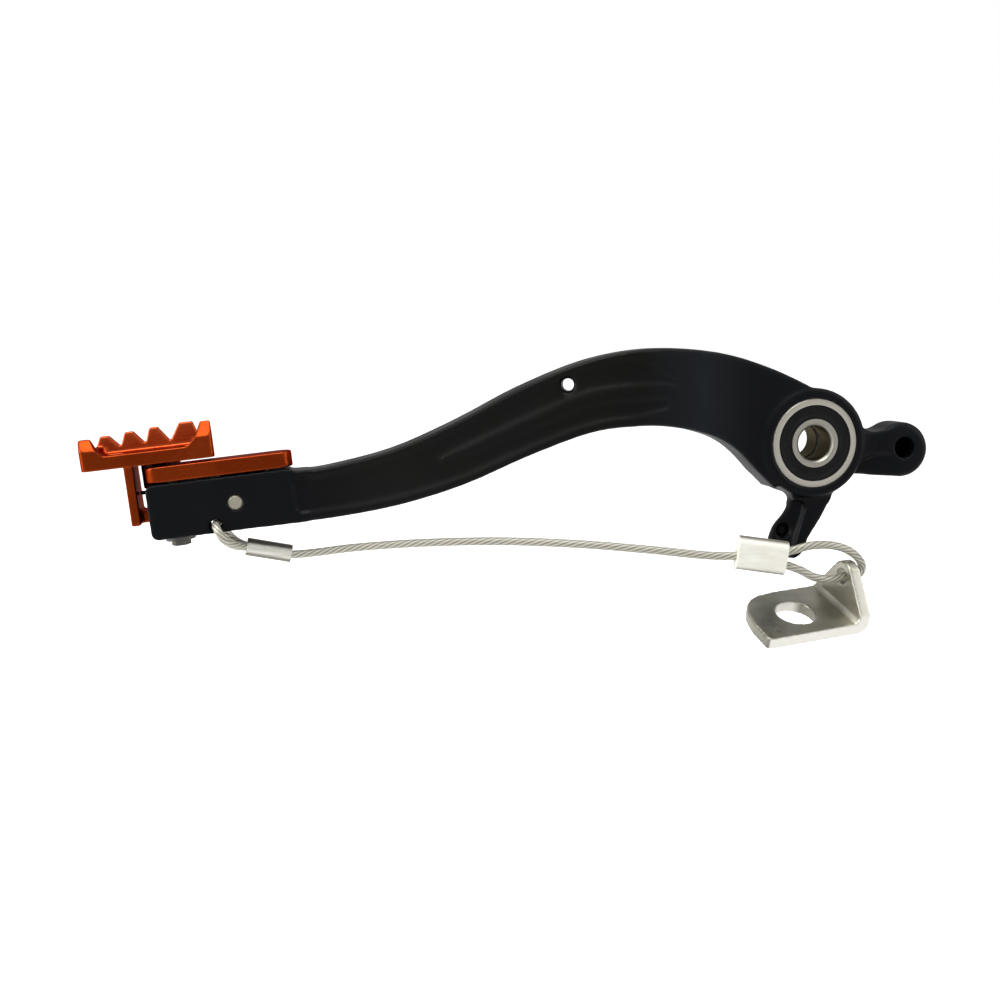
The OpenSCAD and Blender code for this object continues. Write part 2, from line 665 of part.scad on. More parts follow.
// Rings of a swept tube, each turned square to the path
function unit(v) = v / norm(v);
function heading(p, i) = unit(p[min(i + 1, len(p) - 1)] - p[max(i - 1, 0)]);
function ring(at, dir, up, r, n) =
    let (side = unit(cross(dir, up)), top = cross(side, dir))
    [for (k = [0 : n - 1]) at + r * (cos(360 * k / n) * side + sin(360 * k / n) * top)];
function carried(p, i, up) = let (d = heading(p, i)) unit(up - (up * d) * d);
function ups(p, i, up) = i >= len(p) ? [] : let (u = carried(p, i, up)) concat([u], ups(p, i + 1, u));
module swept(p, d, n, up) {
    u = ups(p, 0, up);
    rings = [for (i = [0 : len(p) - 1]) each ring(p[i], heading(p, i), u[i], d / 2, n)];
    last = (len(p) - 1) * n;
    polyhedron(points = rings, faces = concat(
        [[for (k = [0 : n - 1]) k]], [[for (k = [n - 1 : -1 : 0]) last + k]],
        [for (i = [0 : len(p) - 2], k = [0 : n - 1])
            let (a = i * n + k, b = i * n + (k + 1) % n) each [[a, a + n, b + n], [a, b + n, b]]]
    ), convexity = 10);
}
module torsion_spring() color("#1a1a1a") in_tip() translate([hinge_u, hinge_y, 0])
    swept(spring_path(), spring_wire, 6, [0, 0, 1]);

module mount_screw() color("#a9abac") in_tip() {
    upright(screw_at, block_mid, screw_d, block_bottom - washer_t - slack, plate_top - 1.2);
    translate([screw_at, block_mid, block_bottom - washer_t - head_h])
        cylinder(d = head_af / cos(30), h = head_h, $fn = 6);
}
module screw_washer() color("#d6d6d2") in_tip() difference() {
    upright(screw_at, block_mid, washer_d, block_bottom - washer_t, block_bottom);
    upright(screw_at, block_mid, screw_d + 0.2, block_bottom - washer_t - through, block_bottom + through);
}
module dowel_pin() color("#c9cbcc") in_tip() translate([dowel_at[0], block_far - 0.3, dowel_at[1]])
    rotate([90, 0, 0]) rotate_extrude() polygon([
        [0, 0], [dowel_d / 2 - 0.5, 0], [dowel_d / 2, 0.5], [dowel_d / 2, arm_t - 0.9],
        [dowel_d / 2 - 0.5, arm_t - 0.4], [0, arm_t - 0.4]
    ]);

module safety_cable() color("#a8a496")
    swept(curve(cable_route, cable_steps), cable_d, cable_sides, [0, 0, 1]);
module front_ferrule() color("#dcdcd8") difference() {
    rod(front_axis[0], front_axis[1], front_ferrule_d);
    for (side = [-1, 1]) translate([0, side * front_strand, 0])
        rod(front_axis[0] * 2 - front_axis[1], front_axis[1] * 2 - front_axis[0], cable_d);
}
// Oval bar along its axis, with a bore for each strand
module rear_ferrule() color("#e2e2de") difference() {
    run = rear_axis[1] - rear_axis[0];
    round_side = rear_ferrule_h / 2 - rear_ferrule_t / 2;
    translate(rear_axis[0]) rotate([0, acos(run[2] / norm(run)), atan2(run[1], run[0])])
        linear_extrude(norm(run)) {
            square([2 * round_side, rear_ferrule_t], center = true);
            for (side = [-1, 1]) translate([side * round_side, 0]) circle(d = rear_ferrule_t);
        }
    rod(rear_run[0] * 2 - rear_run[1], rear_run[2] * 2 - rear_run[1], cable_d);
    rod(rear_end[0] * 2 - rear_end[1], rear_end[2], cable_d);
}

// Bent tab that bolts to the frame and holds the rear eye of the cable
module cable_tab() color("#cfd0cf") translate(tab_at) rotate(tab_turn) difference() {
    intersection() {
        rotate([90, 0, 0]) linear_extrude(60, center = true) polygon(concat(
            [[-30, -tab_t]], arc([tab_reach + tab_t - bend_r, bend_r - tab_t], bend_r, 270, 360, 8),
            [[tab_reach + tab_t, 30], [tab_reach, 30], [tab_reach, 1], [tab_reach - 1, 0], [-30, 0]]
        ));
        union() {
            translate([0, 0, -tab_t - through]) linear_extrude(tab_t + 2 * through) polygon(concat(
                arc([-13.9, tab_near + 1.5], 1.5, 190, 270, 4),
                [[tab_reach + tab_t + through, tab_near], [tab_reach + tab_t + through, tab_far],
                    [0, tab_far], [-6, 11.3], [-8.9, 10.1], [-11.4, 8], [-13.8, 4], [-15.2, -2]]
            ));
            translate([tab_reach - through, 0, 0]) rotate([90, 0, 90]) linear_extrude(tab_t + 2 * through) {
                polygon([[tab_near, -tab_t - through], [tab_far, -tab_t - through], [tab_far, 0.6],
                    eye_at + eye_r * [cos(38), sin(38)], eye_at, eye_at + eye_r * [cos(140), sin(140)],
                    [tab_near, 2.4]]);
                translate(eye_at) circle(eye_r);
            }
        }
    }
    translate([0, 0, -tab_t - through]) cylinder(d = tab_hole_d, h = tab_t + 2 * through);
    translate([tab_reach - through, eye_at[0], eye_at[1]]) rotate([0, 90, 0])
        cylinder(d = tab_eye_d, h = tab_t + 2 * through);
}

pedal_arm();
outer_ring(-1);  // near_outer_ring
inner_ring(-1);  // near_inner_ring
balls(-1);  // near_balls
cage(-1);  // near_cage
seal(-1, 1);  // near_face_seal
seal(-1, -1);  // near_back_seal
outer_ring(1);  // far_outer_ring
inner_ring(1);  // far_inner_ring
balls(1);  // far_balls
cage(1);  // far_cage
seal(1, -1);  // far_face_seal
seal(1, 1);  // far_back_seal
bearing_spacer();
tip_mount();
tread();
hinge_pin();
pin_clip();
torsion_spring();
mount_screw();
screw_washer();
dowel_pin();
safety_cable();
front_ferrule();
rear_ferrule();
cable_tab();
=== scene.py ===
import json
import math

import bmesh
import bpy
import numpy as np
from mathutils import Matrix, Vector


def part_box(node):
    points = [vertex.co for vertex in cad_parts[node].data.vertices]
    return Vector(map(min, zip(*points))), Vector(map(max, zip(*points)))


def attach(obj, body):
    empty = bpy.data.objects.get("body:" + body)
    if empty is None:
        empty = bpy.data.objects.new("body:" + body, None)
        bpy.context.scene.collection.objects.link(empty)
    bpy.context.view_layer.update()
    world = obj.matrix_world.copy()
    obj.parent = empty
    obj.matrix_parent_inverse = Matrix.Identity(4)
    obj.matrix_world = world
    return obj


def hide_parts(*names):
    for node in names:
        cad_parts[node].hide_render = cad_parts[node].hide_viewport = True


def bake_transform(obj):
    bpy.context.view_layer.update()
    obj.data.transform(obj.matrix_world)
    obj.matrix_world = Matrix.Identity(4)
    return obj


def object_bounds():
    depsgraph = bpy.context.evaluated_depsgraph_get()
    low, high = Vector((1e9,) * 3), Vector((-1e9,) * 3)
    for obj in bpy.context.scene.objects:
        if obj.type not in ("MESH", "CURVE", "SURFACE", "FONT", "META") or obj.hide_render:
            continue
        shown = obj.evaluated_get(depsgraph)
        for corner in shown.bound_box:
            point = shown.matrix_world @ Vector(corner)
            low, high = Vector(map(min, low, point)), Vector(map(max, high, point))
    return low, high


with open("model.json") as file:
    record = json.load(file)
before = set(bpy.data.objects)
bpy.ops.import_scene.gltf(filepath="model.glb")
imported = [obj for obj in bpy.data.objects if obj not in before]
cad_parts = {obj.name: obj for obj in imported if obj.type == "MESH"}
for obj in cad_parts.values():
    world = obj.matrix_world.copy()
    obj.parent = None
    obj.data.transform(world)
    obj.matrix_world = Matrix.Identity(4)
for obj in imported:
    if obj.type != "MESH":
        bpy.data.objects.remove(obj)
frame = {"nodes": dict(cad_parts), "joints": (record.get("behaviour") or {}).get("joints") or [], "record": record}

cadLow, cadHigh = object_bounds()
scene = bpy.context.scene
scene.view_settings.view_transform = "Standard"
mm = 0.001

# The tip and the block lean a little, and the hinge pin gives by how much
foldJoint = next(joint for joint in frame["joints"] if joint["name"] == "tip_fold")
pinAxis = Vector(foldJoint["axis"])  # points down along the pin
pinPlace = Vector(foldJoint["pos_m"])
tipSlope = math.atan2(pinAxis.x, -pinAxis.z)
tipTurn = Matrix.Rotation(-tipSlope, 4, "Y")


# Camera at the photo's angle
cameraSettings = {
    "place": Vector((-0.1569, -0.3318, 0.0245)),
    "look": Vector((0.193, 0.9733, -0.1236)),
    "roll": math.radians(1.39),
    "lens": 43.2,
    "sensor": 36,
    "clip": (0.01, 20),
}


def makeCamera(settings):
    data = bpy.data.cameras.new("pedalCamera")
    data.lens = settings["lens"]
    data.sensor_width = settings["sensor"]
    data.clip_start, data.clip_end = settings["clip"]
    camera = bpy.data.objects.new("pedalCamera", data)
    turn = settings["look"].to_track_quat("-Z", "Y").to_matrix().to_4x4()
    roll = Matrix.Rotation(settings["roll"], 4, "Z")
    camera.matrix_world = Matrix.Translation(settings["place"]) @ turn @ roll
    scene.collection.objects.link(camera)
    scene.camera = camera


makeCamera(cameraSettings)
print("camera made")


# Helpers for meshes
mergeDistance = 0.001 * mm
sharpAngle = math.radians(25)  # a turned edge past this is rounded
wearReach = 0.3  # share of a voxel that an edge stands out where it counts as worn
wearBlurs = 3


def addPiece(name, mesh, body, material, replaced=()):
    piece = bpy.data.objects.new(name, mesh)
    scene.collection.objects.link(piece)
    mesh.materials.clear()
    mesh.materials.append(material)
    mesh.shade_smooth()
    if body:
        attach(piece, body)
    if replaced:
        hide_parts(*replaced)
    return piece


def meshFrom(shape, name):
    mesh = bpy.data.meshes.new(name)
    shape.to_mesh(mesh)
    shape.free()
    return mesh


def evaluatedMesh(source):
    bpy.context.view_layer.update()
    mesh = bpy.data.meshes.new_from_object(source.evaluated_get(bpy.context.evaluated_depsgraph_get()))
    data = source.data
    bpy.data.objects.remove(source)
    if isinstance(data, bpy.types.Mesh):
        bpy.data.meshes.remove(data)
    else:
        bpy.data.curves.remove(data)
    return mesh


def storeValues(mesh, name, values):
    mesh.attributes.new(name, "FLOAT", "POINT").data.foreach_set("value", values)


def markEdges(mesh, reach):
    # Stores how far each point stands out from its neighbours, for wear along the edges, and on the orange parts
    # for a painted highlight there too
    count = len(mesh.vertices)
    place = np.zeros(count * 3)
    normal = np.zeros(count * 3)
    ends = np.zeros(len(mesh.edges) * 2, np.int64)
    mesh.vertices.foreach_get("co", place)
    mesh.vertices.foreach_get("normal", normal)
    mesh.edges.foreach_get("vertices", ends)
    place, normal, ends = place.reshape(-1, 3), normal.reshape(-1, 3), ends.reshape(-1, 2)
    around = np.bincount(ends.ravel(), minlength=count).clip(1)

    def average(values):
        first, second = ends[:, 0], ends[:, 1]
        total = np.bincount(first, values[second], count) + np.bincount(second, values[first], count)
        return total / around

    middle = np.stack([average(place[:, axis]) for axis in range(3)], 1)
    standing = np.einsum("ij,ij->i", place - middle, normal) / reach
    for blur in range(wearBlurs):
        standing = 0.5 * standing + 0.5 * average(standing)
    storeValues(mesh, "edgeWear", standing.clip(-1, 1).astype(np.float32))


def softCopy(node, voxel, passes, turn=Matrix.Identity(4)):
    # A merged copy of a solid, remeshed so that its edges can be rounded by smoothing.
    # passes holds pairs: a test of the place, and how many times it is smoothed.
    shape = bmesh.new()
    shape.from_mesh(frame["nodes"][node].data)
    bmesh.ops.remove_doubles(shape, verts=shape.verts, dist=mergeDistance)
    bmesh.ops.transform(shape, matrix=turn.inverted(), verts=shape.verts)
    holder = bpy.data.objects.new("holder", meshFrom(shape, node))
    scene.collection.objects.link(holder)
    remesh = holder.modifiers.new("remesh", "REMESH")
    remesh.mode = "VOXEL"
    remesh.voxel_size = voxel
    mesh = evaluatedMesh(holder)
    shape = bmesh.new()
    shape.from_mesh(mesh)
    bmesh.ops.transform(shape, matrix=turn, verts=shape.verts)
    for picked, rounds in passes:
        chosen = [vert for vert in shape.verts if picked(vert.co)]
        for smoothing in range(rounds):
            bmesh.ops.smooth_vert(
                shape, verts=chosen, factor=0.5, use_axis_x=True, use_axis_y=True, use_axis_z=True
            )
    shape.to_mesh(mesh)
    shape.free()
    markEdges(mesh, voxel * wearReach)
    return mesh


def everywhere(place):
    return True


def turned(profile, steps, edge, place):
    # Spins a closed profile of (radius, height) round Z, rounds its edges and puts it in place
    shape = bmesh.new()
    verts = [shape.verts.new((radius, 0, height)) for radius, height in profile]
    edges = [shape.edges.new((verts[i - 1], verts[i])) for i in range(len(verts))]
    bmesh.ops.spin(
        shape, geom=verts + edges, cent=(0, 0, 0), axis=(0, 0, 1), angle=math.tau,
        steps=steps, use_merge=True, use_duplicate=False,
    )
    bmesh.ops.remove_doubles(shape, verts=shape.verts, dist=mergeDistance)
    bmesh.ops.recalc_face_normals(shape, faces=shape.faces)
    sharp = [e for e in shape.edges if len(e.link_faces) == 2 and e.calc_face_angle() > sharpAngle]
    bmesh.ops.bevel(
        shape, geom=sharp, offset=edge, offset_type="OFFSET", segments=3, profile=0.5,
        affect="EDGES", clamp_overlap=True, material=-1,
    )
    bmesh.ops.transform(shape, matrix=place, verts=shape.verts)
    bmesh.ops.recalc_face_normals(shape, faces=shape.faces)
    return shape


def fade(value, start, reach):
    # 0 up to start, 1 from start + reach on
    return min(1, max(0, (value - start) / reach))


# Helpers for materials
def startMaterial(name):
    material = bpy.data.materials.new(name)
    material.use_nodes = True
    tree = material.node_tree
    return material, tree, tree.nodes["Principled BSDF"]


def addNode(tree, kind, values=None, **settings):
    node = tree.nodes.new("ShaderNode" + kind)
    for name, setting in settings.items():
        setattr(node, name, setting)
    for name, value in (values or {}).items():
        if isinstance(value, bpy.types.NodeSocket):
            tree.links.new(value, node.inputs[name])
        else:
            node.inputs[name].default_value = value
    return node


def objectPlace(tree, scale=(1, 1, 1), turn=(0, 0, 0)):
    source = addNode(tree, "TexCoord").outputs["Object"]
    values = {"Vector": source, "Scale": scale, "Rotation": turn}
    return addNode(tree, "Mapping", values).outputs["Vector"]


def placeParts(tree, place):
    return addNode(tree, "SeparateXYZ", {"Vector": place}).outputs


def noise(tree, place, scale, detail=3, roughness=0.5):
    values = {"Vector": place, "Scale": scale, "Detail": detail, "Roughness": roughness}
    return addNode(tree, "TexNoise", values).outputs["Fac"]


def spread(tree, source, low, high, toLow, toHigh):
    values = {"Value": source, "From Min": low, "From Max": high, "To Min": toLow, "To Max": toHigh}
    return addNode(tree, "MapRange", values).outputs["Result"]


def mottle(tree, place, scale, low=0, high=1, detail=3, cut=0.3):
    # Noise with its lowest and highest share cut off, the rest between two values
    return spread(tree, noise(tree, place, scale, detail), cut, 1 - cut, low, high)


def mixColour(tree, amount, first, second):
    node = addNode(tree, "Mix", data_type="RGBA")
    for index, value in ((0, amount), (6, first), (7, second)):  # the sockets of its colour mode
        if isinstance(value, bpy.types.NodeSocket):
            tree.links.new(value, node.inputs[index])
        else:
            node.inputs[index].default_value = value if index == 0 else (*value, 1)
    return node.outputs[2]


def calculate(tree, operation, first, second=0.0):
    return addNode(tree, "Math", {0: first, 1: second}, operation=operation).outputs["Value"]


def multiply(tree, first, second):
    return calculate(tree, "MULTIPLY", first, second)


def add(tree, first, second):
    return calculate(tree, "ADD", first, second)


def stretch(tree, source, rising, falling):
    # 1 along a stretch of the part, fading in over one pair of places and out over the other
    return multiply(tree, spread(tree, source, *rising, 0, 1), spread(tree, source, *falling, 1, 0))


def relief(tree, height, strength, depth, under=None):
    values = {"Height": height, "Strength": strength, "Distance": depth}
    if under:
        values["Normal"] = under
    return addNode(tree, "Bump", values).outputs["Normal"]


def stored(tree, name):
    return addNode(tree, "Attribute", attribute_name=name).outputs["Fac"]


# Black coated forging: cool, warmer in the beam, with a painted bluish sheen before the hub, a painted reflection
blackCoat = {
    "cool": (0.0022, 0.0026, 0.0037),
    "warm": (0.0038, 0.0036, 0.0029),
    "paintedSheen": (0.0080, 0.0105, 0.0130),
    "worn": (0.026, 0.026, 0.025),
    "warmRising": (-150 * mm, -125 * mm),
    "warmFalling": (-50 * mm, -20 * mm),
    "paintedSheenRising": (-52 * mm, -34 * mm),
    "paintedSheenFalling": (-34 * mm, -20 * mm),
    "clouds": 38,
    "roughness": (0.36, 0.5),
    "roughClouds": 90,
    "gloss": 0.13,
    "wearFrom": (0.25, 0.9),
    "wearClouds": 240,
    "grain": 1400,
    "grainDepth": 0.04 * mm,
    "forging": 75,
    "forgingDepth": 0.25 * mm,
}


def blackCoatMaterial(settings):
    material, tree, shader = startMaterial("blackCoat")
    place = objectPlace(tree)
    along = placeParts(tree, place)["X"]
    middle = stretch(tree, along, settings["warmRising"], settings["warmFalling"])
    cloud = mottle(tree, place, settings["clouds"], 0.55, 1, cut=0.35)
    colour = mixColour(tree, multiply(tree, middle, cloud), settings["cool"], settings["warm"])
    # Painted reflection: a band before the hub is painted a lighter bluish sheen
    paintedSheenBand = stretch(tree, along, settings["paintedSheenRising"], settings["paintedSheenFalling"])
    colour = mixColour(tree, paintedSheenBand, colour, settings["paintedSheen"])
    patches = spread(tree, noise(tree, place, settings["wearClouds"]), 0.45, 0.7, 0.1, 0.6)
    wear = multiply(tree, spread(tree, stored(tree, "edgeWear"), *settings["wearFrom"], 0, 1), patches)
    tree.links.new(mixColour(tree, wear, colour, settings["worn"]), shader.inputs["Base Color"])
    dull = mottle(tree, place, settings["roughClouds"], *settings["roughness"], detail=4)
    tree.links.new(dull, shader.inputs["Roughness"])
    # Painted shade: the coat gives no reflection in the holes and just round them, so they look dark
    gloss = spread(tree, stored(tree, "inHole"), 0, 1, settings["gloss"], 0)
    tree.links.new(gloss, shader.inputs["Specular IOR Level"])
    rough = relief(tree, noise(tree, place, settings["forging"], 2), 0.35, settings["forgingDepth"])
    grain = noise(tree, place, settings["grain"], 4, 0.6)
    tree.links.new(relief(tree, grain, 0.25, settings["grainDepth"], rough), shader.inputs["Normal"])
    return material


# Orange anodised aluminium, machined, with painted light: the far row of teeth is painted paler, as if lit more
orangeFinish = {
    "deep": (0.27, 0.034, 0.0052),
    "bright": (0.37, 0.050, 0.0090),
    # pinkish edges: partly wear, partly a painted highlight
    "edge": (0.62, 0.16, 0.08),
    "grazing": (0.42, 0.10, 0.03),
    "litFarRow": (0.62, 0.10, 0.026),
    "litFarRowDepth": 4 * mm,
    "litFarRowFade": 1 * mm,
    "clouds": 60,
    "wearFrom": (0.15, 0.7),
    "wearAndHighlightShare": 0.5,
    "roughness": (0.26, 0.38),
    "toolMarks": 5200,
    "toolMarkStretch": 0.06,
    "toolMarkDepth": 0.02 * mm,
}


def orangeMaterial(settings):
    material, tree, shader = startMaterial("orangeAnodised")
    leaning = objectPlace(tree, turn=(0, tipSlope, 0))
    cloud = mottle(tree, leaning, settings["clouds"], detail=4, cut=0.35)
    colour = mixColour(tree, cloud, settings["deep"], settings["bright"])
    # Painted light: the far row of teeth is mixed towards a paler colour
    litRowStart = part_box("tread")[1].y - settings["litFarRowDepth"]
    deep = placeParts(tree, leaning)["Y"]
    litRow = spread(tree, deep, litRowStart - settings["litFarRowFade"], litRowStart, 0, 1)
    colour = mixColour(tree, litRow, colour, settings["litFarRow"])
    # Lighter pinkish edges: partly wear, partly a painted highlight along the edges
    wear = spread(tree, stored(tree, "edgeWear"), *settings["wearFrom"], 0, 1)
    colour = mixColour(tree, multiply(tree, wear, settings["wearAndHighlightShare"]), colour, settings["edge"])
    tree.links.new(colour, shader.inputs["Base Color"])
    shader.inputs["Metallic"].default_value = 1
    shader.inputs["Specular Tint"].default_value = (*settings["grazing"], 1)
    values = {"Vector": leaning, "Scale": (settings["toolMarkStretch"], 1, 1)}
    marks = noise(tree, addNode(tree, "Mapping", values).outputs["Vector"], settings["toolMarks"], 2)
    low, high = settings["roughness"]
    tree.links.new(spread(tree, marks, 0.3, 0.7, low, high), shader.inputs["Roughness"])
    tree.links.new(relief(tree, marks, 0.22, settings["toolMarkDepth"]), shader.inputs["Normal"])
    return material


# Bright metals: turned rings, pins, the screw and the cages
metals = {
    "ringSteel": {
        "dark": (0.58, 0.555, 0.475), "light": (0.75, 0.72, 0.63),
        "metallic": 0.85, "roughness": (0.3, 0.46), "grain": 2600,
    },
    "pinSteel": {
        "dark": (0.40, 0.37, 0.29), "light": (0.62, 0.585, 0.49),
        "metallic": 0.8, "roughness": (0.3, 0.46), "grain": 1500,
    },
    "screwSteel": {
        "dark": (0.10, 0.097, 0.088), "light": (0.22, 0.215, 0.20),
        "metallic": 0.9, "roughness": (0.3, 0.45), "grain": 1500,
    },
    "cageMetal": {
        "dark": (0.35, 0.30, 0.19), "light": (0.52, 0.46, 0.32),
        "metallic": 1, "roughness": (0.3, 0.5), "grain": 900,
    },
}
grazingSteel = (0.55, 0.50, 0.40)
fineDepth = 0.02 * mm  # of the finest marks in the metals
cloudScale = 0.12  # scale of the clouds, as a share of the grain's
innerTone = 0.66  # the inner rings are darker than the outer ones
innerEdge = (7.2 * mm, 7.4 * mm)  # radii between an inner and an outer ring
boreDarkColour = (0.052, 0.046, 0.034)
boreEdge = (5.05 * mm, 5.5 * mm)  # radii over which the bore's darker colour ends


def metalMaterial(name, around=False):
    settings = metals[name]
    material, tree, shader = startMaterial(name)
    place = objectPlace(tree)
    radius = None
    if around:  # lathe marks run round the pivot
        parts = placeParts(tree, place)
        square = add(
            tree, calculate(tree, "POWER", parts["X"], 2), calculate(tree, "POWER", parts["Z"], 2)
        )
        radius = calculate(tree, "SQRT", square)
        place = addNode(tree, "CombineXYZ", {"X": radius, "Y": parts["Y"]}).outputs["Vector"]
    cloud = mottle(tree, place, settings["grain"] * cloudScale, detail=4)
    colour = mixColour(tree, cloud, settings["dark"], settings["light"])
    if radius:
        innerDarkening = spread(tree, radius, *innerEdge, 1 - innerTone, 0)
        colour = mixColour(tree, innerDarkening, colour, (0, 0, 0))
        colour = mixColour(tree, spread(tree, radius, *boreEdge, 1, 0), colour, boreDarkColour)
    tree.links.new(colour, shader.inputs["Base Color"])
    shader.inputs["Metallic"].default_value = settings["metallic"]
    shader.inputs["Specular Tint"].default_value = (*grazingSteel, 1)
    low, high = settings["roughness"]
    fine = noise(tree, place, settings["grain"], 3)
    tree.links.new(spread(tree, fine, 0.3, 0.7, low, high), shader.inputs["Roughness"])
    tree.links.new(relief(tree, fine, 0.2, fineDepth), shader.inputs["Normal"])
    return material


# Drawn aluminium of the sleeves: streaks along them, with painted shade on top and below
sleeveFinishes = {
    "polishedSleeve": {
        "dark": (0.66, 0.64, 0.565), "light": (0.96, 0.94, 0.86), "paintedShade": (0.22, 0.205, 0.175),
        "metallic": 0.55, "roughness": (0.24, 0.36),
    },
    "paleSleeve": {
        "dark": (0.86, 0.84, 0.735), "light": (0.97, 0.96, 0.87), "paintedShade": (0.24, 0.225, 0.19),
        "metallic": 0.3, "roughness": (0.34, 0.46),
    },
}
streakScale = 900
streakStretch = 0.03


def sleeveMaterial(name):
    settings = sleeveFinishes[name]
    material, tree, shader = startMaterial(name)
    streaks = mottle(tree, objectPlace(tree, scale=(streakStretch, 1, 1)), streakScale)
    colour = mixColour(tree, streaks, settings["dark"], settings["light"])
    # Painted shade where the sleeve faces up or down
    colour = mixColour(tree, stored(tree, "paintedShade"), colour, settings["paintedShade"])
    tree.links.new(colour, shader.inputs["Base Color"])
    shader.inputs["Metallic"].default_value = settings["metallic"]
    low, high = settings["roughness"]
    tree.links.new(spread(tree, streaks, 0, 1, high, low), shader.inputs["Roughness"])
    tree.links.new(relief(tree, streaks, 0.15, fineDepth), shader.inputs["Normal"])
    return material


# Stainless plate: rolled faces, painted lighter towards the upright as a painted reflection, and brighter cut
# edges
plateFinish = {
    "rolledDark": (0.13, 0.125, 0.10),
    "rolledLight": (0.56, 0.54, 0.455),
    "cutEdge": (0.95, 0.93, 0.86),
    "paintedLightFrom": 12 * mm,
    "paintedLightShare": 0.6,
    "clouds": 62,
    "cloudShare": 0.6,
    "roughness": (0.32, 0.42),
    "cutRoughness": 0.15,
    "cutMetallic": 0.45,
    "grain": 900,
}


def plateMaterial(settings):
    material, tree, shader = startMaterial("stainlessPlate")
    place = objectPlace(tree)
    low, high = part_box("cable_tab")
    along = placeParts(tree, place)["X"]
    # Painted reflection: the plate is painted lighter towards the upright
    paintedLightRamp = spread(tree, along, low.x + settings["paintedLightFrom"], high.x, 0, settings["paintedLightShare"])
    cloud = mottle(tree, place, settings["clouds"], 0, settings["cloudShare"])
    shade = add(tree, cloud, paintedLightRamp)
    rolled = mixColour(tree, shade, settings["rolledDark"], settings["rolledLight"])
    cut = stored(tree, "cutEdge")
    tree.links.new(mixColour(tree, cut, rolled, settings["cutEdge"]), shader.inputs["Base Color"])
    tree.links.new(spread(tree, cut, 0, 1, 1, settings["cutMetallic"]), shader.inputs["Metallic"])
    fine = noise(tree, place, settings["grain"], 2)
    smoother, rougher = settings["roughness"]
    polished = spread(tree, fine, 0.3, 0.7, smoother, rougher)
    rough = add(tree, polished, multiply(tree, cut, settings["cutRoughness"]))
    tree.links.new(rough, shader.inputs["Roughness"])
    tree.links.new(relief(tree, fine, 0.05, fineDepth), shader.inputs["Normal"])
    return material


# Moulded rubber of the seals
rubberFinish = {
    "dark": (0.0042, 0.0043, 0.0047),
    "light": (0.0072, 0.0074, 0.0078),
    "clouds": 300,
    "roughness": (0.45, 0.6),
    "roughClouds": 1100,
    "gloss": 0.16,
    "grain": 2200,
    "grainDepth": 0.03 * mm,
}


def rubberMaterial(settings):
    material, tree, shader = startMaterial("blackRubber")
    place = objectPlace(tree)
    colour = mixColour(tree, mottle(tree, place, settings["clouds"]), settings["dark"], settings["light"])
    tree.links.new(colour, shader.inputs["Base Color"])
    dull = mottle(tree, place, settings["roughClouds"], *settings["roughness"], detail=4)
    tree.links.new(dull, shader.inputs["Roughness"])
    shader.inputs["Specular IOR Level"].default_value = settings["gloss"]
    grain = noise(tree, place, settings["grain"], 3)
    tree.links.new(relief(tree, grain, 0.2, settings["grainDepth"]), shader.inputs["Normal"])
    return material


# Black wire of the torsion spring
springFinish = {
    "dark": (0.008, 0.008, 0.008),
    "light": (0.03, 0.03, 0.03),
    "clouds": 500,
    "roughness": (0.3, 0.5),
    "roughClouds": 1500,
}


def springMaterial(settings):
    material, tree, shader = startMaterial("blackSpringWire")
    place = objectPlace(tree)
    colour = mixColour(tree, mottle(tree, place, settings["clouds"]), settings["dark"], settings["light"])
    tree.links.new(colour, shader.inputs["Base Color"])
    dull = mottle(tree, place, settings["roughClouds"], *settings["roughness"])
    tree.links.new(dull, shader.inputs["Roughness"])
    return material


# Steel rope under a clear cover
ropeFinish = {
    "gap": (0.20, 0.188, 0.142),
    "wire": (0.60, 0.58, 0.49),
    "strands": 7,
    "lay": 17 * mm,  # length of one turn of a strand
    "fineWires": 5,
    "strandShare": 0.7,
    "metallic": 0.35,
    "roughness": 0.42,
    "cover": 0.8,
    "coverRoughness": 0.18,
    "depth": 0.12 * mm,
}


def ropeMaterial(settings, length):
    material, tree, shader = startMaterial("coatedRope")
    spot = placeParts(tree, addNode(tree, "TexCoord").outputs["UV"])
    along, around = spot["X"], spot["Y"]
    turns = length / settings["lay"]
    strands = settings["strands"]

    def wires(number, twist):
        phase = add(tree, multiply(tree, around, number), multiply(tree, along, twist))
        wave = calculate(tree, "SINE", multiply(tree, phase, math.tau))
        return spread(tree, wave, -1, 1, 0, 1)

    strand = wires(strands, turns * strands)
    thread = wires(strands * settings["fineWires"], -turns * strands * 2)
    share = settings["strandShare"]
    height = add(tree, multiply(tree, strand, share), multiply(tree, thread, 1 - share))
    shade = spread(tree, height, 0.15, 0.75, 0, 1)
    tree.links.new(mixColour(tree, shade, settings["gap"], settings["wire"]), shader.inputs["Base Color"])
    shader.inputs["Metallic"].default_value = settings["metallic"]
    shader.inputs["Roughness"].default_value = settings["roughness"]
    shader.inputs["Coat Weight"].default_value = settings["cover"]
    shader.inputs["Coat Roughness"].default_value = settings["coverRoughness"]
    tree.links.new(relief(tree, height, 0.6, settings["depth"]), shader.inputs["Normal"])
    return material


coat = blackCoatMaterial(blackCoat)
orange = orangeMaterial(orangeFinish)
ringSteel = metalMaterial("ringSteel", around=True)
pinSteel = metalMaterial("pinSteel")
screwSteel = metalMaterial("screwSteel")
cageMetal = metalMaterial("cageMetal")
polishedSleeve = sleeveMaterial("polishedSleeve")
paleSleeve = sleeveMaterial("paleSleeve")
plate = plateMaterial(plateFinish)
rubber = rubberMaterial(rubberFinish)
springWire = springMaterial(springFinish)
print("materials made")
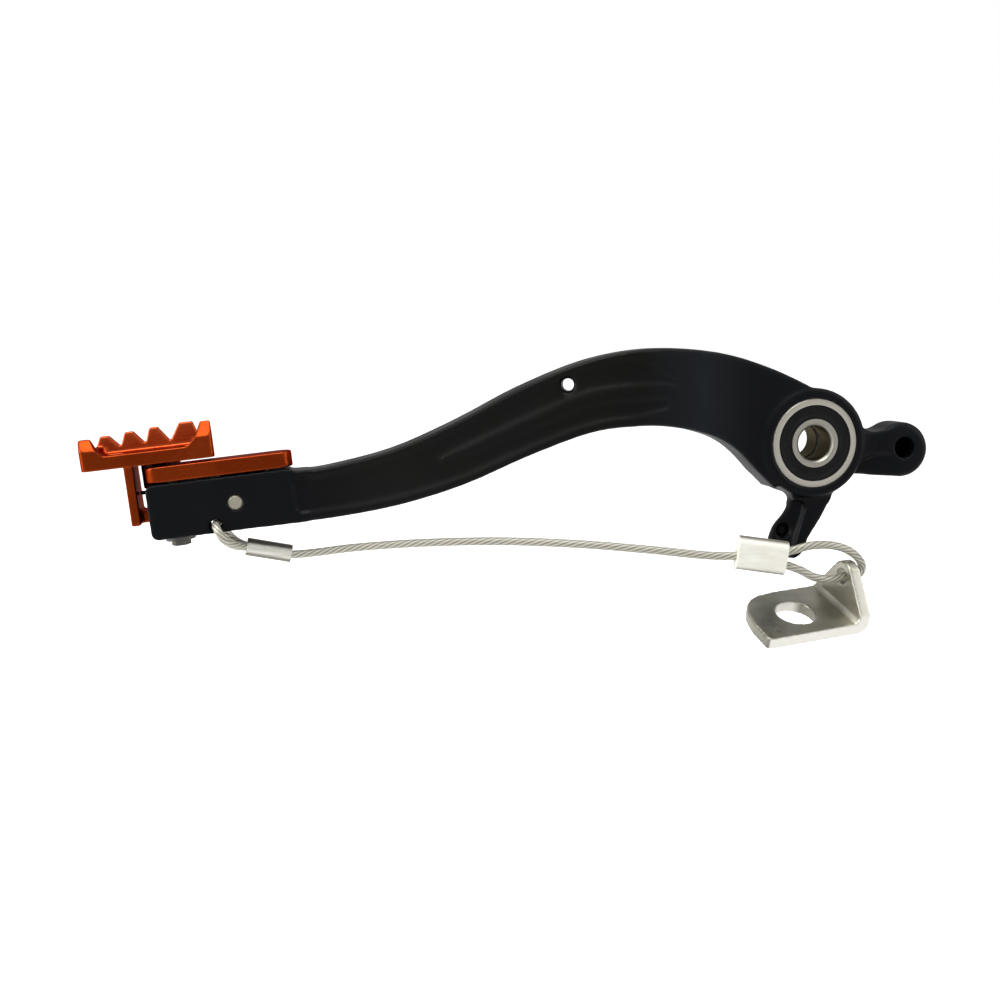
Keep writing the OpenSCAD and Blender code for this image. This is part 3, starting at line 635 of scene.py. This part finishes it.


# Safety cable: one line through listed points, in millimetres
cable = {
    "diameter": 2.4 * mm,
    "length": 0.275,
    "steps": 24,
    "spacing": 0.6 * mm,
    "roundness": 5,
    "exit": (-0.1705, 0.0205, -0.0277),
    "route": [
        (-153.8, 27.25, -36.13), (-157.9, 27.25, -35.41), (-162, 27.25, -34.7),
        (-165.2, 30.9, -33.7), (-167.7, 34.1, -31.8), (-169, 35, -30.1),
        (-170.1, 34.1, -28.4), (-170.5, 31.8, -27.7), (-170.5, 26, -27.7),
        (-170.5, 20.2, -27.7), (-170.1, 17.9, -28.4), (-169, 17, -30.1),
        (-167.7, 17.9, -31.8), (-165.2, 21.1, -33.7), (-162, 24.75, -34.7),
        (-157.6, 24.75, -35.47), (-153.2, 24.75, -36.24), (-148.8, 24.75, -37),
        (-142, 24, -36.4), (-130, 21.2, -34.5), (-112, 15, -32.3),
        (-90, 7.4, -30.7), (-67.9, 0.2, -30.5), (-47.6, -5.0, -31.5), (-32.3, -8.6, -32.6),
        (-23.4, -10.62, -32.51), (-16.0, -12.07, -31.66), (-9.1, -13.42, -30.87),
        (-2.0, -14.0, -29.1), (5.2, -13.3, -29.3), (11.6, -11.8, -31.5), (15.8, -10.4, -35.2),
        (15.2, -10.5, -38.2), (10.8, -11, -38.7), (5.7, -11.9, -39.5), (0.2, -12.6, -38.7),
        (-4.8, -13.2, -36.4), (-9.1, -13.42, -34.95), (-12.4, -12.77, -34.58), (-15.6, -12.15, -34.21),
    ],
}


def smoothLine(points, steps):
    # The same even curve through its points that the solid follows
    line = []
    for i in range(len(points) - 1):
        a, b = points[max(i - 1, 0)], points[i]
        c, d = points[i + 1], points[min(i + 2, len(points) - 1)]
        for step in range(steps):
            t = step / steps
            square = (2 * a - 5 * b + 4 * c - d) * t * t
            cube = (3 * b - a - 3 * c + d) * t ** 3
            line.append(0.5 * (2 * b + (c - a) * t + square + cube))
    return line + [points[-1]]


def lineLength(line):
    return sum((b - a).length for a, b in zip(line, line[1:]))


def spaced(line, spacing):
    # Points a fixed distance apart along a line, so that the strands keep an even lay
    count = round(lineLength(line) / spacing)
    gap = lineLength(line) / count
    places = [line[0]]
    walked = 0.0
    for a, b in zip(line, line[1:]):
        piece = (b - a).length
        while walked + piece >= gap * len(places) and len(places) < count:
            places.append(a.lerp(b, (gap * len(places) - walked) / piece))
        walked += piece
    return places + [line[-1]]


def tubeMesh(name, line, radius, roundness):
    curve = bpy.data.curves.new(name, "CURVE")
    curve.dimensions = "3D"
    spline = curve.splines.new("POLY")
    spline.points.add(len(line) - 1)
    for point, place in zip(spline.points, line):
        point.co = (*place, 1)
    curve.bevel_depth = radius
    curve.bevel_resolution = roundness
    curve.use_fill_caps = True
    holder = bpy.data.objects.new(name, curve)
    scene.collection.objects.link(holder)
    return evaluatedMesh(holder)


def makeCable(settings):
    points = [Vector(point) * mm for point in settings["route"]]
    line = spaced(smoothLine(points, settings["steps"]), settings["spacing"])
    print("cable line", round(lineLength(line), 4))
    mesh = tubeMesh("safetyCable", line, settings["diameter"] / 2, settings["roundness"])
    rope = ropeMaterial(ropeFinish, settings["length"])
    piece = addPiece("safetyCable", mesh, "pedal", rope, ["safety_cable"])
    return piece, line


safetyCable, cableLine = makeCable(cable)
print("cable made")


# Black arm, forged and coated: the arm is rounder than the hub, the block and the holes
arm = {
    "voxel": 0.5 * mm,
    "hubReach": 19 * mm,  # from the pivot
    "seatReach": 14.3 * mm,
    "beamEnd": 20 * mm,
    "lugTop": -16 * mm,
    "blockEnd": -144 * mm,
    "blockBlend": 3 * mm,
    "pinHole": ((-166.4 * mm, 0.7 * mm), 4.2 * mm),  # place on the leaning block, and reach
    "cableHole": ((-172.7 * mm, -5.2 * mm), 3.4 * mm),
    "cableHoleRadius": 1.7 * mm,
    "lobeStart": 17 * mm,
    "lobeHole": (30 * mm, -1.2 * mm),
    "lobeHoleRadius": 3 * mm,
    "lobeHoleRim": 1.2 * mm,
    "holeShadeRim": 0.2 * mm,
    "roundsEverywhere": 3,
    "roundsOnBeam": 18,
    "roundsOnBlock": 3,
    "roundsOnHubStep": 7,
    "roundsOnLobe": 5,
}


def makeArm(settings):
    def onBlockFace(hole):
        (alongTip, upTip), reach = hole
        return tipTurn @ Vector((alongTip, 0, upTip)), reach

    holes = [onBlockFace(settings["pinHole"]), onBlockFace(settings["cableHole"])]
    cableHole = holes[1][0]

    def apart(place, x, z):
        return math.hypot(place.x - x, place.z - z)

    def nearHole(place):
        return any(apart(place, hole.x, hole.z) < reach for hole, reach in holes)

    def fromPivot(place):
        return apart(place, 0, 0)

    def fromLobeHole(place):
        return apart(place, *settings["lobeHole"]) - settings["lobeHoleRadius"]

    def onBeam(place):
        alongBeam = settings["blockEnd"] < place.x < settings["beamEnd"]
        return alongBeam and fromPivot(place) > settings["hubReach"]

    def onBlock(place):
        return place.x < settings["blockEnd"] + settings["blockBlend"] and not nearHole(place)

    def onHubStep(place):
        beside = settings["seatReach"] < fromPivot(place) < settings["hubReach"]
        return beside and place.z > settings["lugTop"]

    def onLobe(place):
        return place.x > settings["lobeStart"] and fromLobeHole(place) > settings["lobeHoleRim"]

    # Points in the holes and just round them, where the coat's reflection is taken away as painted shade
    def inHole(place):
        fromCableHole = apart(place, cableHole.x, cableHole.z) - settings["cableHoleRadius"]
        return min(fromLobeHole(place), fromCableHole) < settings["holeShadeRim"]

    passes = [
        (everywhere, settings["roundsEverywhere"]), (onBeam, settings["roundsOnBeam"]),
        (onBlock, settings["roundsOnBlock"]), (onHubStep, settings["roundsOnHubStep"]),
        (onLobe, settings["roundsOnLobe"]),
    ]
    mesh = softCopy("pedal_arm", settings["voxel"], passes)
    storeValues(mesh, "inHole", [float(inHole(vert.co)) for vert in mesh.vertices])
    addPiece("pedalArm", mesh, "pedal", coat, ["pedal_arm"])


makeArm(arm)
print("arm made")


# Orange tip: machined, with small even edges
tip = {"voxel": 0.28 * mm, "rounds": 6}


def makeTip(settings):
    for name, node, body in (("toothedTread", "tread", "folding_tip"), ("tipMount", "tip_mount", "pedal")):
        mesh = softCopy(node, settings["voxel"], [(everywhere, settings["rounds"])], tipTurn)
        addPiece(name, mesh, body, orange, [node])


makeTip(tip)
print("tip made")


# Bent plate with a bolt hole and an eye
tab = {
    "voxel": 0.3 * mm,
    "rounds": 4,
    "uprightFacing": (0.98106, 0.17, 0.08),
    "flatFrom": 0.45,  # what looks less than this along a flat's normal is a cut edge
    "flatFade": 0.3,
}


def makeTab(settings):
    mesh = softCopy("cable_tab", settings["voxel"], [(everywhere, settings["rounds"])])
    bolt = next(mount for mount in frame["record"]["mounts"] if mount["name"] == "tab_bolt_hole")
    flat = Vector(bolt["axis"]).normalized()
    upright = Vector(settings["uprightFacing"]).normalized()
    values = []
    for vert in mesh.vertices:
        facing = max(abs(vert.normal.dot(flat)), abs(vert.normal.dot(upright)))
        values.append(1 - fade(facing, settings["flatFrom"], settings["flatFade"]))
    storeValues(mesh, "cutEdge", values)
    return addPiece("cableTab", mesh, "pedal", plate, ["cable_tab"])


cableTab = makeTab(tab)
print("tab made")


# Pressed sleeves on the cable
sleeves = {"voxel": 0.16 * mm, "rounds": 5, "paintedShadeReach": 0.3, "frontPaintedShade": 0.34, "rearPaintedShade": 0.6}


def makeSleeve(name, node, finish, start, settings):
    # Painted shade: the metal is painted darker where it faces up or down by more than start
    mesh = softCopy(node, settings["voxel"], [(everywhere, settings["rounds"])])
    reach = settings["paintedShadeReach"]
    storeValues(mesh, "paintedShade", [fade(abs(vert.normal.z), start, reach) for vert in mesh.vertices])
    return addPiece(name, mesh, "pedal", finish, [node])


frontSleeve = makeSleeve("frontSleeve", "front_ferrule", polishedSleeve, sleeves["frontPaintedShade"], sleeves)
rearSleeve = makeSleeve("rearSleeve", "rear_ferrule", paleSleeve, sleeves["rearPaintedShade"], sleeves)
print("sleeves made")


# Face seals of the bearings: moulded, with a shallow groove between two lips
seals = {
    "steps": 128,
    "edge": 0.08 * mm,
    "ringGap": 0.12 * mm,
    "innerLip": 0.9 * mm,
    "outerLip": 1.1 * mm,
    "groove": 0.25 * mm,
    "grooveSide": 0.2 * mm,
}


def makeSeals(settings):
    alongPivot = Matrix.Rotation(math.radians(-90), 4, "X")
    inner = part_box("near_inner_ring")[1].x + settings["ringGap"]
    lipEnd = inner + settings["innerLip"]
    for name, node, side in (("nearSeal", "near_face_seal", -1), ("farSeal", "far_face_seal", 1)):
        low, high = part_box(node)
        outer = high.x
        lipStart = outer - settings["outerLip"]
        face, back = (low.y, high.y) if side < 0 else (high.y, low.y)
        sunk = face - side * settings["groove"]
        profile = [
            (inner, back), (inner, face), (lipEnd, face), (lipEnd + settings["grooveSide"], sunk),
            (lipStart - settings["grooveSide"], sunk), (lipStart, face), (outer, face), (outer, back),
        ]
        shape = turned(profile, settings["steps"], settings["edge"], alongPivot)
        addPiece(name, meshFrom(shape, name), "pedal", rubber, [node])


makeSeals(seals)
print("seals made")


# Torsion spring: heights along the hinge pin, from the pin's middle in plan
spring = {
    "wire": 1.2 * mm,
    "radius": 4.3 * mm,
    "top": 5.3 * mm,
    "low": 0.9 * mm,
    "fromAngle": math.radians(250),
    "turns": 3,
    "stepsPerTurn": 32,
    "roundness": 4,
    "topLeg": (-6.6 * mm, -2.14 * mm),
    "lowLeg": [(3.2 * mm, -5.6 * mm), (11 * mm, -5.6 * mm)],
}


def makeSpring(settings):
    centre = tipTurn.inverted() @ pinPlace
    centre.z = 0
    radius, top, low = settings["radius"], settings["top"], settings["low"]
    count = settings["turns"] * settings["stepsPerTurn"]
    line = [Vector((*settings["topLeg"], top))]
    for i in range(count + 1):
        angle = settings["fromAngle"] + math.tau * i / settings["stepsPerTurn"]
        height = top + (low - top) * i / count
        line.append(Vector((radius * math.cos(angle), radius * math.sin(angle), height)))
    line += [Vector((*leg, low)) for leg in settings["lowLeg"]]
    line = [tipTurn @ (centre + point) for point in line]
    mesh = tubeMesh("torsionSpring", line, settings["wire"] / 2, settings["roundness"])
    piece = addPiece("torsionSpring", mesh, None, springWire, ["torsion_spring"])
    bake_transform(piece)


makeSpring(spring)
print("spring made")


# Finishes of the solids that keep their own shape
keptFinishes = {
    "near_outer_ring": ringSteel, "far_outer_ring": ringSteel,
    "near_inner_ring": ringSteel, "far_inner_ring": ringSteel,
    "near_balls": pinSteel, "far_balls": pinSteel,
    "near_cage": cageMetal, "far_cage": cageMetal,
    "near_back_seal": rubber, "far_back_seal": rubber,
    "bearing_spacer": pinSteel, "hinge_pin": pinSteel, "pin_clip": pinSteel,
    "mount_screw": screwSteel, "screw_washer": screwSteel, "dowel_pin": pinSteel,
}
for node, material in keptFinishes.items():
    for holder in frame["nodes"][node].material_slots:
        holder.material = material
print("other finishes set")


# Floor, world and lamps
studio = {
    "floorHeight": cadLow.z - 60 * mm,
    "floorSize": 12,
    "floorColour": (0.86, 0.86, 0.86),
    "floorGlow": 0.62,
    "mirroredGlow": 0.5,  # share of the glow that the metal sees
    "frontFloor": 0.38,  # share of the floor's light seen in the metal, in front of the part
    "backFloor": 0.8,
    "floorFade": (-0.2, 0.1),  # Y over which one turns into the other
    "frontLight": 0.47,
    "backLight": 0.55,
    "lightFade": (-0.8, 0),
    "topLight": 0.75,
    "topFade": (0.3, 0.8),
    "lamps": [
        ("topLamp", (-0.25, -0.1, 0.75), (0.7, 0.5), 5.0),
        ("leftLamp", (-0.8, -0.1, 0.2), (0.3, 0.6), 3.4),
        ("rightLamp", (0.6, -0.3, 0.25), (0.14, 0.6), 1.2),
    ],
}


def directRays(tree):
    rays = addNode(tree, "LightPath").outputs
    return calculate(tree, "MAXIMUM", rays["Is Camera Ray"], rays["Is Transmission Ray"])


def makeFloor(settings):
    shape = bmesh.new()
    bmesh.ops.create_grid(shape, x_segments=1, y_segments=1, size=settings["floorSize"])
    bmesh.ops.translate(shape, vec=(0, 0, settings["floorHeight"]), verts=shape.verts)
    mesh = meshFrom(shape, "floor")
    floor = bpy.data.objects.new("floor", mesh)
    scene.collection.objects.link(floor)
    material, tree, shader = startMaterial("paleFloor")
    forward = placeParts(tree, objectPlace(tree))["Y"]
    share = spread(tree, forward, *settings["floorFade"], settings["frontFloor"], settings["backFloor"])
    glossy = addNode(tree, "LightPath").outputs["Is Glossy Ray"]
    pale = settings["floorColour"]
    mirrored = mixColour(tree, share, (0, 0, 0), pale)
    tree.links.new(mixColour(tree, glossy, pale, mirrored), shader.inputs["Base Color"])
    shader.inputs["Roughness"].default_value = 0.9
    shader.inputs["Specular IOR Level"].default_value = 0
    shader.inputs["Emission Color"].default_value = (1, 1, 1, 1)
    glow = settings["floorGlow"]
    direct = multiply(tree, directRays(tree), glow)
    gleam = multiply(tree, multiply(tree, glossy, share), settings["mirroredGlow"] * glow)
    tree.links.new(add(tree, direct, gleam), shader.inputs["Emission Strength"])
    mesh.materials.append(material)


def makeWorld(settings):
    world = bpy.data.worlds.new("studio")
    scene.world = world
    world.use_nodes = True
    tree = world.node_tree
    tree.nodes.clear()
    output = addNode(tree, "OutputWorld")
    direction = placeParts(tree, addNode(tree, "TexCoord").outputs["Generated"])
    front, back = settings["frontLight"], settings["backLight"]
    level = spread(tree, direction["Y"], *settings["lightFade"], front, back)
    above = spread(tree, direction["Z"], *settings["topFade"], 0, settings["topLight"])
    strength = calculate(tree, "MAXIMUM", level, above)
    around = addNode(tree, "Background", {"Color": (1, 1, 1, 1), "Strength": strength})
    white = addNode(tree, "Background", {"Color": (1, 1, 1, 1), "Strength": 1})
    values = {0: directRays(tree), 1: around.outputs[0], 2: white.outputs[0]}
    tree.links.new(addNode(tree, "MixShader", values).outputs[0], output.inputs["Surface"])


def makeLamps(settings):
    middle = (cadLow + cadHigh) / 2
    for name, place, size, power in settings["lamps"]:
        data = bpy.data.lights.new(name, "AREA")
        data.shape = "RECTANGLE"
        data.size, data.size_y = size
        data.energy = power
        lamp = bpy.data.objects.new(name, data)
        turn = (middle - Vector(place)).to_track_quat("-Z", "Y").to_matrix().to_4x4()
        lamp.matrix_world = Matrix.Translation(place) @ turn
        scene.collection.objects.link(lamp)


makeFloor(studio)
makeWorld(studio)
makeLamps(studio)
print("studio made")
